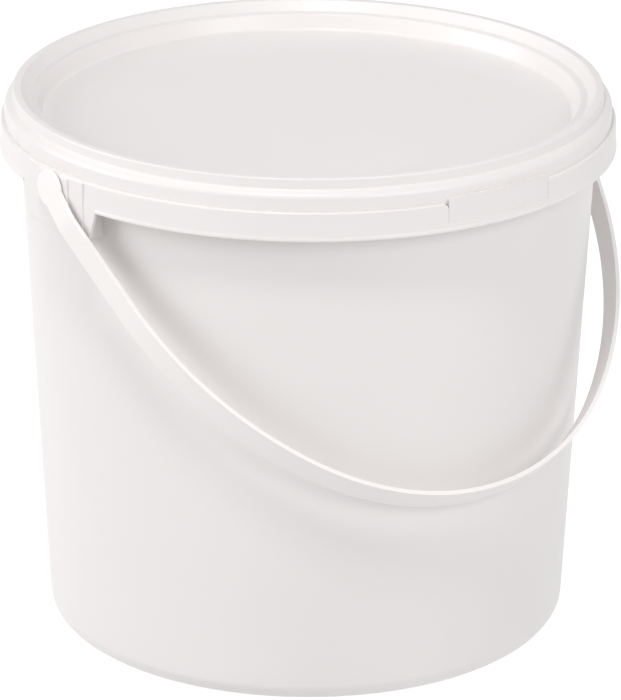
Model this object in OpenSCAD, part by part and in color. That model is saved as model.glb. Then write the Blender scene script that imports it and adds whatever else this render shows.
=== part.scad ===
// Lidded plastic pail with a strip bail handle and a tear-out tab in its collar.
// The origin is the centre of the base, on the surface it stands on. +Z is up, the handle
// turns about a line along X, and the tab faces -Y.

/* [Wall] */
// Outer radius that the tapered wall would have at the base plane
base_r = 117.15; // [112:0.05:120]
// Outer radius of the wall under the collar
wall_top_r = 128.3; // [127:0.05:129]
// Height at which that upper radius is measured
wall_top_z = 222; // [215:1:226]
// Thickness of the wall
wall_t = 1.7; // [1.2:0.1:1.8]
// Radius of the rounded corner between the wall and the base
base_corner_r = 9; // [5:0.5:12]
// Height of the floor's upper face
floor_z = 3.8; // [3:0.1:5]
// Depth of the recess inside the foot ring
foot_recess = 1.5; // [0.8:0.1:2]
// Outer radius of that recess
foot_recess_r = 100; // [90:1:103]
// Height of the pail's own rim, under the lid
rim_z = 246.1; // [245.5:0.1:246.2]

/* [Collar] */
// Height of the collar's lower edge
collar_z = 222.7; // [221:0.1:224]
// Height of the collar's upper edge
collar_top_z = 235.6; // [234.5:0.1:236.5]
// Outer radius of the collar at its lower edge
collar_r = 137.2; // [137:0.05:137.4]
// Outer radius of the collar at its upper edge
collar_top_r = 136.9; // [136.8:0.05:137]
// Thickness of the collar
collar_t = 1.4; // [1.2:0.05:1.5]
// Radius of the rounded bead on the collar's lower edge
bead_r = 0.9; // [0.6:0.1:1]
// Height of the web's underside, which joins the collar to the wall
web_z = 225; // [224.5:0.1:225.5]
// Thickness of the web
web_t = 1.6; // [1.2:0.1:2]
// Height of the snap bead round the wall, which holds the lid
snap_z = 238.4; // [238:0.1:239]
// Outer radius of that snap bead
snap_r = 131.4; // [130.8:0.1:131.5]

/* [Ears] */
// Height of the handle's pivot
pivot_z = 228; // [227:0.5:228]
// Height of an ear pad's lower edge
pad_z = 208; // [206:0.5:212]
// Half of an ear pad's width where it meets the collar
pad_half_w = 27; // [24:0.5:30]
// Half of an ear pad's width at its lower edge, before its corners are rounded
pad_low_half_w = 22.5; // [21:0.5:25]
// Radius of an ear pad's lower corners
pad_corner_r = 4; // [2:0.5:6]
// Half of the width of the thickened part of an ear
thick_half_w = 20; // [16:0.5:21]
// Outer radius of that thickened part
thick_r = 137.6; // [137.4:0.05:137.7]
// Half of the width of the flat face that the handle turns on
seat_half_w = 11; // [9:0.5:12]
// Distance of that flat face from the middle of the pail
seat_x = 138; // [137.8:0.05:138.1]
// Height of the lower edge of the flat face
seat_z = 218; // [216:0.5:220]
// Thickness of the ribs behind an ear
rib_t = 1.2; // [0.8:0.1:1.6]
// Height of the roof over the pocket behind an ear
roof_z = 232.8; // [232.6:0.1:233]
// Radius of the pivot hole through an ear
hole_r = 3.55; // [3:0.05:3.8]

/* [Handle] */
// Width of the strip
strip_w = 12; // [9:0.5:13]
// Thickness of the strip
strip_t = 2; // [1.5:0.1:2]
// Distance of the strip's middle from the middle of the pail, at the pivots
half_span = 139.35; // [139.3:0.05:140]
// Length of the parallel stretch that starts at each pivot
straight_l = 15; // [14:0.5:17]
// Radius of the bend that turns each leg inwards
elbow_r = 30; // [25:1:35]
// Angle by which each leg leans inwards
leg_angle = 10.7; // [8:0.1:11]
// Length of each leaning leg
leg_l = 43; // [38:1:48]
// Radius of the strip's two shoulders
shoulder_r = 165; // [150:1:180]
// Angle at which the shoulders end and the middle of the strip begins
shoulder_angle = 48.5; // [40:0.5:55]
// Angle from straight down at which the strip rests on the wall
lean = 44.8; // [44.7:0.1:46]
// Radius of the round end of the strip
eye_r = 8; // [7:0.1:8.5]
// Radius of the stud that turns in the ear
stud_r = 3.5; // [2.95:0.05:3.75]
// Radius of the stud's head, behind the ear
head_r = 4.3; // [3.9:0.1:4.4]
// Length of the stud's head
head_l = 1.7; // [1:0.1:2]

/* [Lid] */
// Thickness of the lid
lid_t = 1.5; // [1.2:0.05:1.6]
// Height of the panel's upper face
panel_z = 237; // [236.8:0.1:238]
// Radius of the flat panel
panel_r = 118; // [115:0.5:119]
// Radius of the crown's inner edge
crown_in = 127.8; // [127.4:0.1:128.2]
// Radius at which the crown's inner slope meets the ledge
slope_r = 124.2; // [123.5:0.1:125]
// Radius of the inner edge of the ledge above the panel
ledge_r = 120.5; // [119.5:0.1:121]
// Height of the ledge
ledge_z = 244.3; // [243.5:0.1:244.8]
// Height of the crown, which is the top of the whole pail
crown_z = 249; // [248.9:0.1:249.5]
// Outer radius of the crown
crown_r = 131.3; // [131:0.1:131.5]
// Outer radius of the shoulder between the crown and the skirt
skirt_r = 135.1; // [134.8:0.1:135.1]
// Height of the shoulder
shoulder_z = 243; // [242.5:0.1:243.5]
// Height of the skirt's lower edge
skirt_z = 234.4; // [234.4:0.1:235]

/* [Tear-out tab] */
// Half of the tab's width
tab_half_w = 27; // [20:0.5:32]
// Height of the tab's lower edge
tab_z = 227.5; // [227.2:0.1:228.5]
// Height of the tab's upper edge
tab_top_z = 238.1; // [236.5:0.1:238.5]
// Radius of the tab's upper corner at its free end
tab_corner_r = 2.6; // [1:0.1:4]
// Width of the slit at the tab's free end
tab_slit = 1.6; // [1:0.1:3]
// Gap round the rest of the tab
tab_gap = 0.5; // [0.4:0.1:0.8]
// Outer radius of the tab
tab_r = 137; // [136.9:0.05:137.1]

/* [Hidden] */
$fn = 96;
bead_fn = 24;                                   // smoothness of the collar's small beads
e = 0.5;                                        // how far a cut runs past the face it cuts
plastic = [0.93, 0.93, 0.92];
taper = (wall_top_r - base_r) / wall_top_z;     // growth of the wall's radius with height
collar_in = collar_top_r - collar_t;            // inner radius of the collar and the tab
rim_h = 3;                                      // height of the thin rim that stands in the lid
rim_root_t = 2;                                 // thickness of that rim at its foot
rim_tip_t = 0.6;                                // thickness left at its tip, inside the chamfer
rim_chamfer = 0.3;                              // chamfer of the rim's outer edge
rim_r = wall_radius(rim_z - rim_h) - 0.1;       // outer radius of the rim
snap_bead_r = 1.4;                              // radius of the section of the wall's snap bead
bead_out = 0.3;                                 // how far the collar's lower bead stands out
collar_mid = collar_r - collar_t / 2;           // middle of the collar's thickness at its lower edge
web_in = wall_radius(web_z) - wall_t / 2;       // the web and the ribs are rooted inside the wall
thick_z = pad_z + 2;                            // lower edge of the thickened part of an ear
seat_root = collar_in - 2;                      // the flat seat is cut from a block that starts here
rib_z = pad_z + 1;                              // lower edge of the ribs behind an ear
pad_slope = (pad_half_w - pad_low_half_w) / (collar_z - pad_z);
plane_turn = 90 - lean;                         // turns the handle from lying flat to its rest place
elbow_end = [half_span - elbow_r * (1 - cos(leg_angle)), -straight_l - elbow_r * sin(leg_angle)];
leg_end = elbow_end + leg_l * [-sin(leg_angle), -cos(leg_angle)];
shoulder_c = leg_end - shoulder_r * [cos(leg_angle), -sin(leg_angle)];
shoulder_end = shoulder_c + shoulder_r * [cos(shoulder_angle), -sin(shoulder_angle)];
grip_r = shoulder_end.x / cos(shoulder_angle);  // radius of the middle of the strip
grip_c = [0, shoulder_end.y + grip_r * sin(shoulder_angle)];
eye_in = half_span - strip_t / 2;               // inner face of the strip's round ends
head_in = collar_in - 0.4;                      // outer face of the stud's head, clear of the ear
crown_round = 1.7;                              // rounding of the crown's outer edge
crown_chamfer = 0.6;                            // chamfer of the crown's inner edge
foot_round = 1;                                 // fillet at the foot of the crown's outer side
foot_z = shoulder_z + 1.8;                      // height of the middle of that fillet
slope_a = 70;                                   // where the fillet ends and the shoulder's round begins
shoulder_c_z = shoulder_z - 2.1;                // height of the middle of the shoulder's rounding
lid_bead_r = 1.2;                               // radius of the section of the lid's snap bead
lid_bead_z = skirt_z + 1.6;                     // height of that snap bead
round_steps = 8;                                // steps in each rounded edge of the lid
leg_steps = 3;                                  // steps in each bend of the handle, from the pivot on
shoulder_steps = 14;
grip_steps = 16;
shoulder_round = 2.6;                           // rounding of the lid's shoulder
skirt_in = skirt_r - lid_t;                     // inner radius of the lid's skirt

// Outer radius of the wall at height z
function wall_radius(z) = base_r + taper * z;

// Distance from the axis of a circle of radius r that touches the line radius = a + k * height
// and stands on the line height = 0
function corner_centre(a, k, r) = a + k * r - r * sqrt(1 + k * k);

function reversed(points) = [for (i = [len(points) - 1:-1:0]) points[i]];

// Points along an arc, in count steps
function arc_points(centre, r, from_angle, to_angle, count) = [
    for (i = [0:count])
        let (a = from_angle + (to_angle - from_angle) * i / count) centre + r * [cos(a), sin(a)]
];

// A flat-bottomed outline whose side is the line x = a + k * (height above z), up to height top,
// with a rounded lower corner of radius r
module tapered_outline(a, k, z, top, r) {
    c = corner_centre(a, k, r);
    s = sqrt(1 + k * k);
    translate([0, z]) {
        translate([c, r]) circle(r);
        polygon([[0, 0], [c, 0], [c + r / s, r - r * k / s], [a + k * (top - z), top - z], [0, top - z]]);
    }
}

// A tube between two radii and two heights
module tube(r_in, r_out, z_low, z_high) {
    translate([0, 0, z_low]) difference() {
        cylinder(r = r_out, h = z_high - z_low);
        translate([0, 0, -e]) cylinder(r = r_in, h = z_high - z_low + 2 * e);
    }
}

// A box that reaches outwards from x_in to x_out, centred on the XZ plane
module ear_box(x_in, x_out, half_w, z_low, z_high) {
    translate([x_in, -half_w, z_low]) cube([x_out - x_in, 2 * half_w, z_high - z_low]);
}

module both_ears() {
    children();
    mirror([1, 0, 0]) children();
}

// The wall, the base with its foot ring, the rim and the snap bead
module wall_section() {
    rim_foot = rim_z - rim_h;
    difference() {
        union() {
            tapered_outline(base_r, taper, 0, rim_foot, base_corner_r);
            polygon([[0, rim_foot - 1], [rim_r, rim_foot - 1], [rim_r, rim_z - rim_chamfer],
                     [rim_r - rim_chamfer, rim_z], [0, rim_z]]);
            translate([snap_r - snap_bead_r, snap_z]) circle(snap_bead_r);
        }
        tapered_outline(wall_radius(floor_z) - wall_t, taper, floor_z, rim_foot + e,
                        base_corner_r - wall_t);
        polygon([[-e, rim_foot], [rim_r - rim_root_t, rim_foot], [rim_r - rim_tip_t, rim_z + e],
                 [-e, rim_z + e]]);
        polygon([[-e, -e], [foot_recess_r + e, -e], [foot_recess_r - foot_recess, foot_recess],
                 [-e, foot_recess]]);
    }
}

// The collar with the bead on its lower edge, and the web that joins it to the wall
module collar_section() {
    round_r = collar_t / 2;
    polygon([[collar_r - collar_t, collar_z + bead_r], [collar_r, collar_z + bead_r],
             [collar_top_r, collar_top_z - round_r], [collar_in, collar_top_z - round_r]]);
    translate([collar_top_r - round_r, collar_top_z - round_r]) circle(round_r, $fn = bead_fn);
    translate([collar_r - bead_r + bead_out, collar_z + bead_r]) circle(bead_r, $fn = bead_fn);
    translate([web_in, web_z]) square([collar_mid - web_in, web_t]);
}

// The pad below the collar, its thickened part and the flat seat of the handle
module ear_pad() {
    pad_in = collar_r - collar_t;
    intersection() {
        tube(pad_in, collar_r, pad_z - e, web_z + web_t);
        rotate([90, 0, 90]) linear_extrude(collar_r + e) both_ears()
            tapered_outline(pad_low_half_w, pad_slope, pad_z, collar_z + bead_r, pad_corner_r);
    }
    intersection() {
        tube(pad_in, thick_r, thick_z, collar_top_z - collar_t / 2);
        ear_box(pad_in / 2, thick_r, thick_half_w, thick_z, collar_top_z);
    }
    difference() {
        ear_box(seat_root, seat_x, seat_half_w, seat_z, collar_top_z - collar_t / 2);
        translate([0, 0, seat_z - e]) cylinder(r = pad_in, h = collar_top_z - seat_z + 2 * e);
    }
}

// The ribs that hold an ear's pad to the wall, and the roof over the pocket between the middle two
module ear_ribs() {
    intersection() {
        tube(web_in, collar_mid, rib_z, roof_z + rib_t);
        union() {
            for (y = [-thick_half_w, thick_half_w])
                translate([web_in / 2, y - rib_t / 2, rib_z])
                    cube([collar_r, rib_t, web_z + web_t / 2 - rib_z]);
            for (y = [-seat_half_w, seat_half_w])
                translate([web_in / 2, y - rib_t / 2, rib_z])
                    cube([collar_r, rib_t, roof_z + rib_t - rib_z]);
            ear_box(web_in / 2, collar_r, seat_half_w, roof_z, roof_z + rib_t);
        }
    }
}

// The pocket that the stud's head turns in, and the pivot hole into it
module ear_pocket() {
    intersection() {
        tube(wall_radius(roof_z) + 0.1, collar_in, web_z - e, roof_z);
        ear_box(web_in / 2, collar_r, seat_half_w - rib_t / 2, web_z - e, roof_z);
    }
    translate([collar_in - e, 0, pivot_z]) rotate([0, 90, 0])
        cylinder(r = hole_r, h = seat_x - collar_in + 2 * e);
}

// The opening in the collar that the tab fills
module tab_slot() {
    low = tab_z - tab_gap;
    intersection() {
        tube(collar_in - e, collar_r + e, low, collar_top_z + e);
        translate([-tab_half_w - tab_slit, -collar_r - e, low - e])
            cube([2 * tab_half_w + tab_slit + tab_gap, collar_r, collar_top_z - low + 2 * e]);
    }
}

// The pail itself, moulded in one: wall, base, collar and both ears
module bucket() {
    color(plastic) difference() {
        union() {
            rotate_extrude() wall_section();
            rotate_extrude() collar_section();
            both_ears() {
                ear_pad();
                ear_ribs();
            }
        }
        both_ears() ear_pocket();
        tab_slot();
    }
}

// The lid's section as one closed outline of points [radius, height]: its upper and outer face
// from the middle to the skirt's lower edge, then its under and inner face back to the middle
function lid_outline() = concat(
    lid_recess(0),
    arc_points([crown_r - crown_round, crown_z - crown_round], crown_round, 90, 0, round_steps),
    arc_points([crown_r + foot_round, foot_z], foot_round, 180, 180 + slope_a, round_steps),
    arc_points([skirt_r - shoulder_round, shoulder_c_z], shoulder_round, slope_a, 0, round_steps),
    [[skirt_r, skirt_z], [skirt_in, skirt_z]],
    arc_points([skirt_in, lid_bead_z], lid_bead_r, 270, 90, round_steps),
    [[skirt_in, shoulder_z - shoulder_round], [crown_r - lid_t, foot_z - foot_round - lid_t],
     [crown_r - lid_t, crown_z - lid_t]],
    reversed(lid_recess(lid_t))
);

// The recess in the middle of the lid and the inner slope of its crown, set in by depth. The factors
// carry each corner outwards so that the thickness stays even round it.
function lid_recess(depth) = [
    [0, panel_z - depth],
    [panel_r + 0.7 * depth, panel_z - depth],
    [ledge_r + depth, ledge_z - depth],
    [slope_r + 0.8 * depth, ledge_z - depth],
    [crown_in - crown_chamfer + depth, crown_z - crown_chamfer - 0.9 * depth],
    [crown_in + 0.8 * depth, crown_z - depth],
];

module lid() {
    color(plastic) rotate_extrude() polygon(lid_outline());
}

// The strip's face on one side of its middle line, from the pivot at +X to the strip's middle,
// as it lies flat
function strip_side(off) = concat(
    [[half_span + off, 0]],
    arc_points([half_span - elbow_r, -straight_l], elbow_r + off, 0, -leg_angle, leg_steps),
    arc_points(shoulder_c, shoulder_r + off, -leg_angle, -shoulder_angle, shoulder_steps),
    arc_points(grip_c, grip_r + off, -shoulder_angle, -90, grip_steps)
);

// The same points for the leg at -X, with the strip's middle left out, in the opposite order
function other_leg(side) = [for (i = [len(side) - 2:-1:0]) [-side[i].x, side[i].y]];

// The round end of the strip, its stud and the stud's head, at +X
module handle_end() {
    translate([eye_in, 0, 0]) rotate([0, 90, 0]) cylinder(r = eye_r, h = strip_t);
    translate([head_in - head_l, 0, 0]) rotate([0, 90, 0])
        cylinder(r = stud_r, h = eye_in - head_in + head_l + strip_t / 2);
    translate([head_in - head_l, 0, 0]) rotate([0, 90, 0]) cylinder(r = head_r, h = head_l);
}

module handle() {
    color(plastic) translate([0, 0, pivot_z]) rotate([plane_turn, 0, 0]) {
        both_ears() handle_end();
        translate([0, 0, -strip_w / 2]) linear_extrude(strip_w) polygon(concat(
            strip_side(strip_t / 2), other_leg(strip_side(strip_t / 2)),
            reversed(other_leg(strip_side(-strip_t / 2))), reversed(strip_side(-strip_t / 2))));
    }
}

// The tab's face as seen from the front, with its rounded upper corner at the free end
module tab_outline() {
    difference() {
        translate([-tab_half_w, tab_z]) square([2 * tab_half_w, tab_top_z - tab_z]);
        translate([-tab_half_w - e, tab_top_z - tab_corner_r])
            square([tab_corner_r + e, tab_corner_r + e]);
    }
    translate([tab_corner_r - tab_half_w, tab_top_z - tab_corner_r]) circle(tab_corner_r);
}

module tamper_tab() {
    color(plastic) intersection() {
        tube(collar_in, tab_r, tab_z - e, tab_top_z + e);
        rotate([90, 0, 0]) linear_extrude(collar_r + e) tab_outline();
    }
}

bucket();
lid();
handle();
tamper_tab();
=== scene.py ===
import math
import bmesh
import bpy
from mathutils import Matrix, Vector


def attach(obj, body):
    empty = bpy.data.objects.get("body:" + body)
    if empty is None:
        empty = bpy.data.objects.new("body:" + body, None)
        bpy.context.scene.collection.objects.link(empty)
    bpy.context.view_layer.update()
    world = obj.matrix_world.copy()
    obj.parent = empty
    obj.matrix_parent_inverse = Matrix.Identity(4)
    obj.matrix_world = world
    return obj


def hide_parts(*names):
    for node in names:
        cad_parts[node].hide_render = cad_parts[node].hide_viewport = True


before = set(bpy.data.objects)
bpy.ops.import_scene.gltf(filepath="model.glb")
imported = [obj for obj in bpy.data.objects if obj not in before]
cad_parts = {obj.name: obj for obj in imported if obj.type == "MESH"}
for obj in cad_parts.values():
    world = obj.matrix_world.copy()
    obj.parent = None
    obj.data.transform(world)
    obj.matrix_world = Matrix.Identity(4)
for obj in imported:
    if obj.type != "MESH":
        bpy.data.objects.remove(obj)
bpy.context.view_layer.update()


# --- Pail wall -------------------------------------------------------------------------------
# The tapered pail with its flat base on a foot ring, injection moulded in white polypropylene.
# It is turned here from the gate in the base's middle: floor, wall, thin rim and back down.
MM = 0.001
ARC = 6                                   # steps in a moulded rounding
ROUND = 224                               # steps in a full turn
LONGEST = 8                               # longest plain stretch of a section between two points

wall_base_r = 117.15
wall_taper = (128.3 - 117.15) / 222
wall_t = 1.7
corner_r = 9
floor_z = 3.8
foot_r = 100
foot_h = 1.5
corner_start = 8.82                       # from the sharp corner to where its rounding starts
foot_step_round = 0.6
foot_round = 0.5
rim_z = 246.1
rim_r = 129.26
rim_h = 3                                 # height over which the rim tapers
rim_root_t = 2
rim_tip_t = 0.9
rim_round = 0.3
bead_r = 131.4
bead_z = 238.4
bead_half_h = 1.6
bead_drop = 0.2                           # how far the bead's crest lies below its middle
rim_lead = 0.2                            # plain stretch of the outside below the rim's taper


def wall_radius(z):
    return wall_base_r + wall_taper * z


def rounded_profile(bm, points, closed=False):
    """A section in the XZ plane, in millimetres. Each point is radius, height and its rounding."""
    verts = [bm.verts.new((r * MM, 0, z * MM)) for r, z, _ in points]
    ends = verts[1:] + verts[:1] if closed else verts[1:]
    for a, b in zip(verts, ends):
        bm.edges.new((a, b))
    for vert, (_, _, rounding) in zip(verts, points):
        if rounding:
            bmesh.ops.bevel(bm, geom=[vert], offset=rounding * MM, offset_type="OFFSET",
                            affect="VERTICES", segments=ARC, profile=0.5, material=-1)
    for edge in bm.edges[:]:
        cuts = int(edge.calc_length() / (LONGEST * MM))
        if cuts:
            bmesh.ops.subdivide_edges(bm, edges=[edge], cuts=cuts)


def turn(bm, angle=math.tau, steps=ROUND):
    """Spins the whole section about the pail's axis."""
    bmesh.ops.spin(bm, geom=bm.verts[:] + bm.edges[:], cent=(0, 0, 0), axis=(0, 0, 1),
                   angle=angle, steps=steps, use_merge=abs(angle - math.tau) < 1e-6)


def close_up(bm, merge=0.01):
    """Merges the doubles of one shell, then turns its faces outwards."""
    bmesh.ops.remove_doubles(bm, verts=bm.verts, dist=merge * MM)
    bmesh.ops.recalc_face_normals(bm, faces=bm.faces)


def piece(name, bm, sharp=30):
    """Makes the object from a finished mesh."""
    mesh = bpy.data.meshes.new(name)
    bm.to_mesh(mesh)
    bm.free()
    mesh.shade_smooth()
    mesh.set_sharp_from_angle(angle=math.radians(sharp))
    obj = bpy.data.objects.new(name, mesh)
    bpy.context.scene.collection.objects.link(obj)
    even = obj.modifiers.new("even_shading", "WEIGHTED_NORMAL")
    even.keep_sharp = True
    return obj


def moulded_plastic(name, tint, rubbed_at=()):
    """Satin white polypropylene: faint flow marks, fine moulded grain, and scuffs at some heights."""
    mat = bpy.data.materials.new(name)
    mat.use_nodes = True
    nodes, links = mat.node_tree.nodes, mat.node_tree.links
    shader = nodes["Principled BSDF"]
    shader.inputs["Specular IOR Level"].default_value = 0.5
    coords = nodes.new("ShaderNodeTexCoord")

    def noise(scale, detail, rough=0.5):
        node = nodes.new("ShaderNodeTexNoise")
        node.inputs["Scale"].default_value = scale
        node.inputs["Detail"].default_value = detail
        node.inputs["Roughness"].default_value = rough
        links.new(coords.outputs["Object"], node.inputs["Vector"])
        return node.outputs["Fac"]

    def span(value, from_min, from_max, to_min, to_max):
        node = nodes.new("ShaderNodeMapRange")
        node.inputs["From Min"].default_value = from_min
        node.inputs["From Max"].default_value = from_max
        node.inputs["To Min"].default_value = to_min
        node.inputs["To Max"].default_value = to_max
        links.new(value, node.inputs["Value"])
        return node.outputs["Result"]

    def blend(factor, first, second):
        node = nodes.new("ShaderNodeMix")
        node.data_type = "RGBA"
        links.new(factor, node.inputs["Factor"])
        for socket, colour in ((node.inputs[6], first), (node.inputs[7], second)):
            if isinstance(colour, tuple):
                socket.default_value = (*colour, 1)
            else:
                links.new(colour, socket)
        return node.outputs[2]

    def worked(operation, first, second):
        node = nodes.new("ShaderNodeMath")
        node.operation = operation
        for socket, value in zip(node.inputs, (first, second)):
            if isinstance(value, (int, float)):
                socket.default_value = value
            else:
                links.new(value, socket)
        return node.outputs["Value"]

    shade = tuple(c * 0.965 for c in tint)
    scuffed = tuple(c * 0.90 for c in tint)
    flow = span(noise(7, 3), 0.35, 0.7, 0, 1)
    colour = blend(flow, tint, shade)
    gloss = span(noise(26, 4, 0.6), 0.3, 0.72, 0.30, 0.38)
    split = nodes.new("ShaderNodeSeparateXYZ")
    links.new(coords.outputs["Object"], split.inputs["Vector"])
    marks = span(noise(140, 5, 0.7), 0.52, 0.66, 0, 0.6)
    for height, reach in rubbed_at:
        away = worked("ABSOLUTE", worked("SUBTRACT", split.outputs["Z"], height * MM), 0)
        near = span(away, reach * MM, 0, 0, 1)
        rub = worked("MULTIPLY", near, marks)
        colour = blend(rub, colour, scuffed)
        gloss = worked("ADD", gloss, worked("MULTIPLY", rub, 0.2))
    links.new(colour, shader.inputs["Base Color"])
    links.new(gloss, shader.inputs["Roughness"])

    grain = nodes.new("ShaderNodeBump")
    grain.inputs["Strength"].default_value = 0.06
    grain.inputs["Distance"].default_value = 0.0003
    links.new(noise(900, 2), grain.inputs["Height"])
    ripple = nodes.new("ShaderNodeBump")
    ripple.inputs["Strength"].default_value = 0.10
    ripple.inputs["Distance"].default_value = 0.0012
    links.new(noise(30, 1), ripple.inputs["Height"])
    links.new(grain.outputs["Normal"], ripple.inputs["Normal"])
    links.new(ripple.outputs["Normal"], shader.inputs["Normal"])
    return mat


wall = bmesh.new()
rounded_profile(wall, [
    (0, foot_h, 0),
    (foot_r - foot_h, foot_h, foot_step_round),
    (foot_r, 0, foot_round),
    (wall_base_r, 0, corner_start),
    (wall_radius(bead_z - bead_half_h), bead_z - bead_half_h, 0.4),
    (bead_r, bead_z - bead_drop, 0.7),
    (wall_radius(bead_z + bead_half_h), bead_z + bead_half_h, 0.4),
    (rim_r, rim_z - rim_h - rim_lead, 0),
    (rim_r, rim_z, rim_round),
    (rim_r - rim_tip_t, rim_z, rim_round),
    (rim_r - rim_root_t, rim_z - rim_h, 0.2),
    (wall_radius(floor_z) - wall_t, floor_z, corner_r - wall_t),
    (0, floor_z, 0),
])
turn(wall)
close_up(wall)
pail_wall = piece("pail_wall", wall)
pail_tint = (0.825, 0.796, 0.787)
foot_scuff = (0, 5)                       # height of the scuffs, and how far from it they reach
collar_scuff = (223.5, 1.6)
pail_white = moulded_plastic("pail_white", pail_tint, [foot_scuff, collar_scuff])
pail_wall.data.materials.append(pail_white)
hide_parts("bucket")
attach(pail_wall, "pail")


# --- Collar and ears -------------------------------------------------------------------------
# The stiff collar below the lid, part of the pail's own white polypropylene moulding. Two ears
# hang from it, each thicker in the middle, with a flat seat for the handle and ribs back to the
# wall. The hole for the handle's stud lies under the handle's eye and is not drawn.
collar_z = 222.7
collar_top_z = 235.6
collar_r = 137.2
collar_top_r = 136.9
collar_t = 1.4
web_z = 225
web_t = 1.6
pivot_z = 228
pad_z = 208
pad_half_w = 27
pad_low_half_w = 22.5
pad_corner = 4
thick_half_w = 20
thick_r = 137.6
thick_z = 210
seat_half_w = 11
seat_x = 138
seat_z = 218
roof_z = 232.8
rib_t = 1.2
tab_half_w = 27
tab_z = 227.5
slit_w = 0.15                             # the slit at the tab's free end
tab_gap = 0.5
edge_round = 0.35
seat_t = 1.8
seat_round = 0.6
bead_out = 0.24                           # how far the collar's lower bead stands out
lip_h = 2                                 # height of the collar's closed upper lip
lug_slant = 1.2                           # sideways slant of the cut on the lug's ends
outer_rib_start = 2.4                     # how far inside the wall's radius the ribs start
inner_rib_start = 1.2
outer_rib_gap = 1.9                       # from the ribs' outer ends to the collar's face
inner_rib_gap = 1
rib_foot = 1                              # from the pad's lower edge up to the ribs
web_root = 0.5                            # how far the web runs into the wall


def arc_piece(points, from_deg, to_deg, steps):
    """A closed section spun about the pail's axis between two angles from +X, with closed ends."""
    part = bmesh.new()
    rounded_profile(part, points, closed=True)
    bmesh.ops.rotate(part, verts=part.verts, matrix=Matrix.Rotation(math.radians(from_deg), 3, "Z"))
    turn(part, math.radians(to_deg - from_deg), steps)
    bmesh.ops.holes_fill(part, edges=[e for e in part.edges if e.is_boundary])
    close_up(part, merge=0.001)
    return part


def slice_off(part, point, normal):
    """Cuts away what lies beyond a plane, and closes the cut."""
    made = bmesh.ops.bisect_plane(part, geom=part.verts[:] + part.edges[:] + part.faces[:],
                                  plane_co=Vector(point) * MM, plane_no=Vector(normal),
                                  clear_outer=True)
    rim = [e for e in made["geom_cut"] if isinstance(e, bmesh.types.BMEdge)]
    if rim:
        bmesh.ops.holes_fill(part, edges=rim)


def soften(part, width, segments=2, above=-1):
    """Rounds every sharp edge that lies wholly above a height."""
    sharp = [e for e in part.edges
             if len(e.link_faces) == 2 and e.calc_face_angle() > math.radians(35)
             and min(v.co.z for v in e.verts) > above * MM]
    bmesh.ops.bevel(part, geom=sharp, offset=width * MM, offset_type="OFFSET", affect="EDGES",
                    segments=segments, profile=0.5, material=-1, clamp_overlap=True)


def add(bm, part, turned_by=0, mirrored=False):
    """Puts a finished shape into a piece, and frees it."""
    if mirrored:
        bmesh.ops.scale(part, verts=part.verts, vec=(-1, 1, 1))
        bmesh.ops.reverse_faces(part, faces=part.faces)
    bmesh.ops.rotate(part, verts=part.verts, matrix=Matrix.Rotation(math.radians(turned_by), 3, "Z"))
    mesh = bpy.data.meshes.new("part")
    part.to_mesh(mesh)
    part.free()
    bm.from_mesh(mesh)
    bpy.data.meshes.remove(mesh)


def block(x0, x1, y0, y1, z0, z1):
    """A box between six limits."""
    part = bmesh.new()
    bmesh.ops.create_cube(part, size=1)
    bmesh.ops.scale(part, verts=part.verts, vec=Vector((x1 - x0, y1 - y0, z1 - z0)) * MM)
    bmesh.ops.translate(part, verts=part.verts, vec=Vector((x0 + x1, y0 + y1, z0 + z1)) * MM / 2)
    return part


ear_deg = math.degrees(math.asin(pad_half_w / collar_r))
tab_deg = math.degrees(math.asin(tab_half_w / collar_r))
slit_deg = math.degrees(math.asin((tab_half_w + slit_w) / collar_r))
slit_corner = 2.4
gap_deg = math.degrees(math.asin((tab_half_w + tab_gap) / collar_r))
collar_in = collar_top_r - collar_t
lip_in = 135.13                           # the collar's upper lip closes round the lid's skirt

beaded = [
    (collar_r - collar_t, collar_z + 0.4, 0.3),
    (collar_r - 0.6, collar_z, 0.35),
    (collar_r + bead_out, collar_z + 0.25, 0.45),
    (collar_r + bead_out, collar_z + 1.5, 0.5),
    (collar_r - 0.02, collar_z + 2.1, 0.4),
    (collar_top_r, collar_top_z, 0.7),
    (lip_in, collar_top_z, 0),
    (lip_in, collar_top_z - lip_h, 0.3),
    (collar_r - collar_t, collar_top_z - 3, 0.3),
]
slot_z = tab_z - tab_gap + 0.05
slot_r = collar_r - (slot_z - collar_z) / (collar_top_z - collar_z) * (collar_r - collar_top_r)
lower_ring = beaded[:5] + [(slot_r, slot_z, 0), (collar_r - collar_t, slot_z, 0)]
upper_band = [(collar_r - collar_t, slot_z, 0), (slot_r, slot_z, 0)] + beaded[5:]
plain = [
    (collar_r - collar_t, pad_z, 0.3),
    (collar_r, pad_z, 0.4),
    (collar_r, collar_z + 2, 0),
    (collar_top_r, collar_top_z, 0.7),
    (lip_in, collar_top_z, 0),
    (lip_in, collar_top_z - lip_h, 0.3),
    (collar_r - collar_t, collar_top_z - 3, 0.3),
]
thick = [
    (collar_r - collar_t / 2, thick_z, 0),
    (thick_r, thick_z, 0.4),
    (thick_r, collar_top_z - 0.5, 0.35),
    (collar_r - collar_t / 2, collar_top_z - 0.5, 0),
]
collar = bmesh.new()
for from_deg, to_deg in ((ear_deg, 180 - ear_deg), (-180 + ear_deg, -ear_deg)):
    add(collar, arc_piece(lower_ring, from_deg, to_deg, 112))
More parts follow.
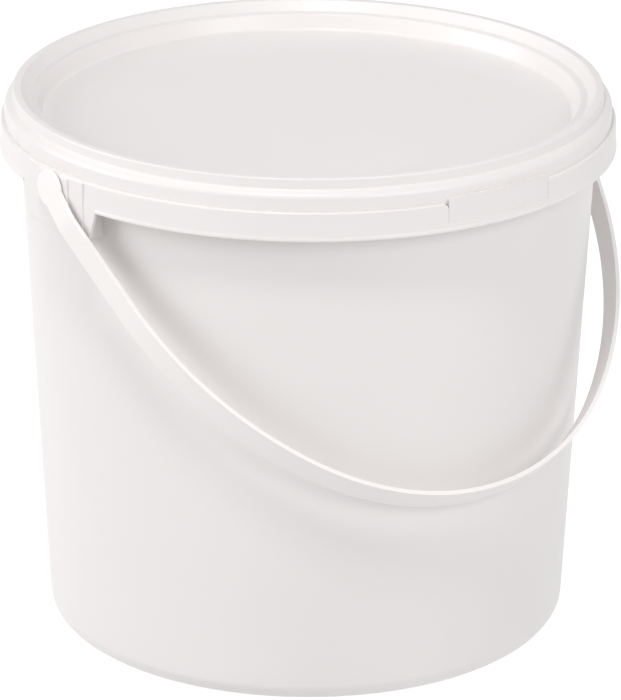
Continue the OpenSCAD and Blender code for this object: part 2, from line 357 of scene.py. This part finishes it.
for from_deg, to_deg in ((ear_deg, 180 - ear_deg), (-180 + ear_deg, -90 - slit_deg),
                         (-90 + gap_deg, -ear_deg)):
    band = arc_piece(upper_band, from_deg, to_deg, round((to_deg - from_deg) / 1.4))
    if to_deg == -90 - slit_deg:
        slit_x = -collar_r * math.sin(math.radians(slit_deg))
        for i in range(1, 6):
            a = math.pi / 2 * i / 6
            slice_off(band, (slit_x + slit_corner * (math.cos(a) - 1), 0,
                             collar_top_z + slit_corner * (math.sin(a) - 1)),
                      (math.cos(a), 0, math.sin(a)))
    add(collar, band)
web_in = wall_radius(web_z) - web_root
web_out = collar_r - collar_t / 2
web = [
    (web_in, web_z, 0),
    (web_out, web_z, 0),
    (web_out, web_z + web_t, 0),
    (web_in, web_z + web_t, 0),
]
web_deg = math.degrees(math.asin(seat_half_w / collar_r))
add(collar, arc_piece(web, web_deg, 180 - web_deg, 112))
add(collar, arc_piece(web, -180 + web_deg, -web_deg, 112))
pad_lean = math.atan2(pad_half_w - pad_low_half_w, collar_z - pad_z)
for mirrored in (False, True):
    pad = arc_piece(plain, -ear_deg, ear_deg, 16)
    for side in (-1, 1):
        slice_off(pad, (0, side * pad_low_half_w, pad_z),
                  (0, side * math.cos(pad_lean), -math.sin(pad_lean)))
        lean_tan = math.tan(pad_lean)
        centre_y = pad_low_half_w + pad_corner * (lean_tan - math.sqrt(1 + lean_tan ** 2))
        for i in range(1, 6):
            a = -math.pi / 2 + (math.pi / 2 - pad_lean) * i / 6
            slice_off(pad, (0, side * (centre_y + pad_corner * math.cos(a)),
                            pad_z + pad_corner * (1 + math.sin(a))),
                      (0, side * math.cos(a), math.sin(a)))
    soften(pad, edge_round)
    add(collar, pad, mirrored=mirrored)
    thick_deg = math.degrees(math.asin(thick_half_w / thick_r))
    lug = arc_piece(thick, -thick_deg, thick_deg, 12)
    for side in (-1, 1):
        slice_off(lug, (collar_r, side * thick_half_w, 0), (1, side * lug_slant, 0))
    add(collar, lug, mirrored=mirrored)
    seat = block(seat_x - seat_t, seat_x, -seat_half_w, seat_half_w, seat_z, collar_top_z - 0.7)
    soften(seat, seat_round, 3)
    add(collar, seat, mirrored=mirrored)
    for y in (-thick_half_w, thick_half_w):
        add(collar, block(wall_radius(pad_z) - outer_rib_start, collar_r - outer_rib_gap,
                          y - rib_t / 2, y + rib_t / 2, pad_z + rib_foot, web_z + 1),
            mirrored=mirrored)
    for y in (-seat_half_w, seat_half_w):
        add(collar, block(wall_radius(pad_z) - inner_rib_start, collar_r - inner_rib_gap,
                          y - rib_t / 2, y + rib_t / 2, pad_z + rib_foot, roof_z + rib_t),
            mirrored=mirrored)
    add(collar, block(wall_radius(roof_z) - 1, collar_r - inner_rib_gap,
                      -seat_half_w, seat_half_w, roof_z, roof_z + rib_t),
        mirrored=mirrored)
pail_collar = piece("pail_collar", collar, sharp=40)
pail_collar.data.materials.append(pail_white)
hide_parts("bucket")
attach(pail_collar, "pail")


# --- Lid -------------------------------------------------------------------------------------
# The push-on lid, moulded in the same plastic. Its panel lies low inside a hollow crown that
# fits over the pail's rim, and its skirt drops inside the collar.
panel_z = 237
lid_t = 1.5
crown_z = 249
crown_r = 131.3
crown_in = 129.8
skirt_r = 135.1
skirt_in = 133.6
skirt_z = 234.4
groove_z = 244.3                          # the step between the panel's side and the crown
inner_bead_r = 132.4
inner_bead_z = 236
inner_bead_half_h = 1.1
lid = bmesh.new()
rounded_profile(lid, [
    (0, panel_z, 0),
    (118, panel_z, 1.2),
    (120.5, groove_z, 0.7),
    (124.2, groove_z, 0.7),
    (127.5, crown_z, 0.5),
    (crown_r, crown_z, 0.8),
    (crown_r, 244.1, 0.5),
    (skirt_r, 242.72, 1.8),
    (skirt_r, skirt_z, 0.4),
    (skirt_in, skirt_z, 0.3),
    (skirt_in, inner_bead_z - inner_bead_half_h, 0),
    (inner_bead_r, inner_bead_z, 0.5),
    (skirt_in, inner_bead_z + inner_bead_half_h, 0),
    (skirt_in, 240.4, 1),
    (crown_in, 242.3, 0.6),
    (crown_in, crown_z - lid_t, 0.6),
    (129, crown_z - lid_t, 0.3),
    (125.4, groove_z - lid_t, 0.6),
    (122, groove_z - lid_t, 0.6),
    (119.05, panel_z - lid_t, 0.8),
    (0, panel_z - lid_t, 0),
])
turn(lid)
close_up(lid)
pail_lid = piece("push_on_lid", lid)
lid_tint = (0.825, 0.796, 0.787)
crown_scuff = (249, 0.8)
pail_lid.data.materials.append(moulded_plastic("lid_white", lid_tint, [crown_scuff]))
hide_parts("lid")
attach(pail_lid, "cover")


# --- Tamper tab ------------------------------------------------------------------------------
# The tear-out tab that closes the gap in the collar, of the same polypropylene. A thin web at its
# right-hand end holds it, and its free end has one rounded corner for a finger.
tab_r = 137
tab_top_z = 238.1
tab_corner = 3
tab_round = 0.3
tab_low = tab_z - 0.43
# Its white is a touch darker than the pail's: painted shade for its slightly sunken face.
tab_tint_shaded = (0.82, 0.79, 0.781)
tab_scuff = (238.1, 0.8)
tab = arc_piece([(lip_in, tab_low, 0), (tab_r - 0.05, tab_low, 0), (tab_r - 0.1, tab_top_z, 0),
                 (lip_in, tab_top_z, 0)], -90 - tab_deg, -90 + gap_deg - 0.04, 24)
for i in range(1, 6):
    a = math.pi / 2 * (1 + i / 6)
    slice_off(tab, (tab_corner - tab_half_w + tab_corner * math.cos(a), 0,
                    tab_top_z - tab_corner + tab_corner * math.sin(a)),
              (math.cos(a), 0, math.sin(a)))
soften(tab, tab_round, 3, above=tab_low + 0.2)
tear_tab = piece("tear_tab", tab, sharp=40)
tear_tab.data.materials.append(moulded_plastic("tab_white_shaded", tab_tint_shaded, [tab_scuff]))
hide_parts("tamper_tab")
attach(tear_tab, "tab")


# --- Handle ----------------------------------------------------------------------------------
# The bail: one flat strip of moulded polypropylene that bends in from two round eyes, round the
# shoulders and across the front. A stud inside each eye turns in the ear, held by its head.
strip_w = 12
strip_t = 2
half_span = 139.35
straight_l = 15
elbow_r = 30
leg_deg = 10.7
leg_l = 43
shoulder_r = 165
shoulder_deg = 48.5
lean_deg = 44.8
eye_r = 8
stud_r = 3.5
head_r = 4.3
head_l = 1.7
head_gap = 0.4
head_x = collar_in - head_gap
stud_round = 0.25
# The strip's white is set lighter than the pail's: painted light for its face that tilts down, away
# from the lamps.
bail_tint_with_painted_light = (0.92, 0.891, 0.879)


def onward(bm, edges, move):
    """Carries an open edge loop on along a straight."""
    made = bmesh.ops.extrude_edge_only(bm, edges=edges)["geom"]
    verts = [v for v in made if isinstance(v, bmesh.types.BMVert)]
    bmesh.ops.translate(bm, verts=verts, vec=Vector(move) * MM)
    return [e for e in made if isinstance(e, bmesh.types.BMEdge)
            and all(v in verts for v in e.verts)]


def bent(bm, edges, centre, by_deg, steps):
    """Carries an open edge loop on round a bend in the handle's own plane."""
    verts = list({v for e in edges for v in e.verts})
    made = bmesh.ops.spin(bm, geom=edges + verts, cent=(centre[0] * MM, centre[1] * MM, 0),
                          axis=(0, 0, 1), angle=math.radians(-by_deg), steps=steps)
    return [e for e in made["geom_last"] if isinstance(e, bmesh.types.BMEdge)]


bail = bmesh.new()
bmesh.ops.create_circle(bail, cap_ends=True, segments=72, radius=eye_r * MM)
bmesh.ops.rotate(bail, verts=bail.verts, matrix=Matrix.Rotation(math.pi / 2, 3, "Y"))
bmesh.ops.translate(bail, verts=bail.verts, vec=((half_span - strip_t / 2) * MM, 0, 0))
eye_chord = math.sqrt(eye_r ** 2 - (strip_w / 2) ** 2)
bmesh.ops.bisect_plane(bail, geom=bail.verts[:] + bail.edges[:] + bail.faces[:],
                       plane_co=(0, -eye_chord * MM, 0), plane_no=(0, -1, 0), clear_outer=True)
made = bmesh.ops.extrude_face_region(bail, geom=bail.faces[:])["geom"]
bmesh.ops.translate(bail, verts=[v for v in made if isinstance(v, bmesh.types.BMVert)],
                    vec=(strip_t * MM, 0, 0))
foot = min(bail.faces, key=lambda f: f.calc_center_median().y)
loop = list(foot.edges)
bmesh.ops.delete(bail, geom=[foot], context="FACES_ONLY")
loop = onward(bail, loop, (0, eye_chord - straight_l, 0))
loop = bent(bail, loop, (half_span - elbow_r, -straight_l), leg_deg, 4)
leg_a = math.radians(leg_deg)
loop = onward(bail, loop, (-leg_l * math.sin(leg_a), -leg_l * math.cos(leg_a), 0))
leg_x = half_span - elbow_r * (1 - math.cos(leg_a)) - leg_l * math.sin(leg_a)
leg_y = -straight_l - elbow_r * math.sin(leg_a) - leg_l * math.cos(leg_a)
shoulder_x = leg_x - shoulder_r * math.cos(leg_a)
shoulder_y = leg_y + shoulder_r * math.sin(leg_a)
loop = bent(bail, loop, (shoulder_x, shoulder_y), shoulder_deg - leg_deg, 22)
shoulder_a = math.radians(shoulder_deg)
grip_r = (shoulder_x + shoulder_r * math.cos(shoulder_a)) / math.cos(shoulder_a)
grip_y = shoulder_y - shoulder_r * math.sin(shoulder_a) + grip_r * math.sin(shoulder_a)
loop = bent(bail, loop, (0, grip_y), 90 - shoulder_deg, 28)
bmesh.ops.remove_doubles(bail, verts=bail.verts, dist=1e-7)
bmesh.ops.mirror(bail, geom=bail.verts[:] + bail.edges[:] + bail.faces[:], merge_dist=1e-5,
                 axis="X")
bmesh.ops.remove_doubles(bail, verts=bail.verts, dist=2e-6)
bmesh.ops.recalc_face_normals(bail, faces=bail.faces)
soften(bail, edge_round, 3)
for side in (-1, 1):
    for radius, x0, x1 in ((stud_r, head_x - head_l, half_span), (head_r, head_x - head_l, head_x)):
        stud = bmesh.new()
        bmesh.ops.create_cone(stud, cap_ends=True, segments=48, radius1=radius * MM,
                              radius2=radius * MM, depth=(x1 - x0) * MM)
        bmesh.ops.rotate(stud, verts=stud.verts, matrix=Matrix.Rotation(math.pi / 2, 3, "Y"))
        bmesh.ops.translate(stud, verts=stud.verts, vec=((x0 + x1) / 2 * MM, 0, 0))
        soften(stud, stud_round)
        add(bail, stud, mirrored=side < 0)
lean = Matrix.Rotation(math.radians(90 - lean_deg), 3, "X")
bmesh.ops.rotate(bail, verts=bail.verts, matrix=lean)
bmesh.ops.translate(bail, verts=bail.verts, vec=(0, 0, pivot_z * MM))
bail_strip = piece("bail_strip", bail, sharp=40)
bail_strip.data.materials.append(moulded_plastic("bail_white_with_painted_light", bail_tint_with_painted_light))
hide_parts("handle")
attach(bail_strip, "bail")


# --- Floor, light and camera -----------------------------------------------------------------
# A plain white floor under a soft white sky, with three square soft lamps: one on the left, one
# in front on the right and a small one high above for the highlights. The floor glows but is
# hidden from diffuse light, so the sky below it lights the pail from beneath.
scene = bpy.context.scene
scene.view_settings.view_transform = "Standard"
world = bpy.data.worlds.new("studio")
world.use_nodes = True
sky_nodes, sky_links = world.node_tree.nodes, world.node_tree.links
sky_way = sky_nodes.new("ShaderNodeTexCoord")
sky_split = sky_nodes.new("ShaderNodeSeparateXYZ")
sky_span = sky_nodes.new("ShaderNodeMapRange")
sky_span.inputs["From Min"].default_value = -0.5
sky_span.inputs["From Max"].default_value = 0.3
sky_span.inputs["To Min"].default_value = 0.81
sky_span.inputs["To Max"].default_value = 0.53
sky_links.new(sky_way.outputs["Generated"], sky_split.inputs["Vector"])
sky_links.new(sky_split.outputs["Z"], sky_span.inputs["Value"])
sky_links.new(sky_span.outputs["Result"], sky_nodes["Background"].inputs["Strength"])
sky_nodes["Background"].inputs["Color"].default_value = (1, 1, 1, 1)
scene.world = world

floor = bmesh.new()
bmesh.ops.create_grid(floor, x_segments=1, y_segments=1, size=6)
floor_obj = piece("studio_floor", floor)
paper = bpy.data.materials.new("floor_paper")
paper.use_nodes = True
paper_shader = paper.node_tree.nodes["Principled BSDF"]
paper_shader.inputs["Base Color"].default_value = (0.3, 0.3, 0.3, 1)
paper_shader.inputs["Emission Color"].default_value = (1, 1, 1, 1)
paper_shader.inputs["Emission Strength"].default_value = 0.85
paper_shader.inputs["Roughness"].default_value = 0.9
paper_shader.inputs["Specular IOR Level"].default_value = 0.1
floor_obj.data.materials.append(paper)
floor_obj.visible_diffuse = False

view_az = math.radians(-37.2)
view_el = 0.36596
view_far = 2.2
view_right = 0.001543
view_up = 0.121937
view_roll = 0.0056
right = Vector((math.cos(view_az), math.sin(view_az), 0))
forward = Vector((-math.sin(view_az) * math.cos(view_el), math.cos(view_az) * math.cos(view_el),
                  -math.sin(view_el)))
up = right.cross(forward)
turned_right = math.cos(view_roll) * right + math.sin(view_roll) * up
turned_up = -math.sin(view_roll) * right + math.cos(view_roll) * up
place = view_right * right + Vector((0, 0, view_up)) - view_far * forward
eye = bpy.data.cameras.new("studio_camera")
eye.lens = 249.31
eye.sensor_width = 36
camera = bpy.data.objects.new("studio_camera", eye)
camera.matrix_world = Matrix((
    (turned_right.x, turned_up.x, -forward.x, place.x),
    (turned_right.y, turned_up.y, -forward.y, place.y),
    (turned_right.z, turned_up.z, -forward.z, place.z),
    (0, 0, 0, 1),
))
scene.collection.objects.link(camera)
scene.camera = camera

toward = Vector((math.sin(view_az), -math.cos(view_az), 0))


def soft_lamp(name, across, towards, above, far, size, energy):
    """A square lamp that faces the pail, placed by its direction as the camera sees it."""
    aim = (across * right + towards * toward + Vector((0, 0, above))).normalized()
    light = bpy.data.lights.new(name, "AREA")
    light.shape = "SQUARE"
    light.size = size
    light.energy = energy
    obj = bpy.data.objects.new(name, light)
    obj.location = aim * far + Vector((0, 0, 0.12))
    obj.rotation_mode = "QUATERNION"
    obj.rotation_quaternion = (-aim).to_track_quat("-Z", "Y")
    scene.collection.objects.link(obj)


soft_lamp("left_lamp", across=-0.97, towards=0.08, above=0.35, far=2.2, size=1.2, energy=20)
soft_lamp("front_lamp", across=0.58, towards=0.8, above=0.55, far=2.4, size=1.2, energy=16)
soft_lamp("top_lamp", across=-0.1, towards=0.45, above=1, far=2.0, size=0.3, energy=11)
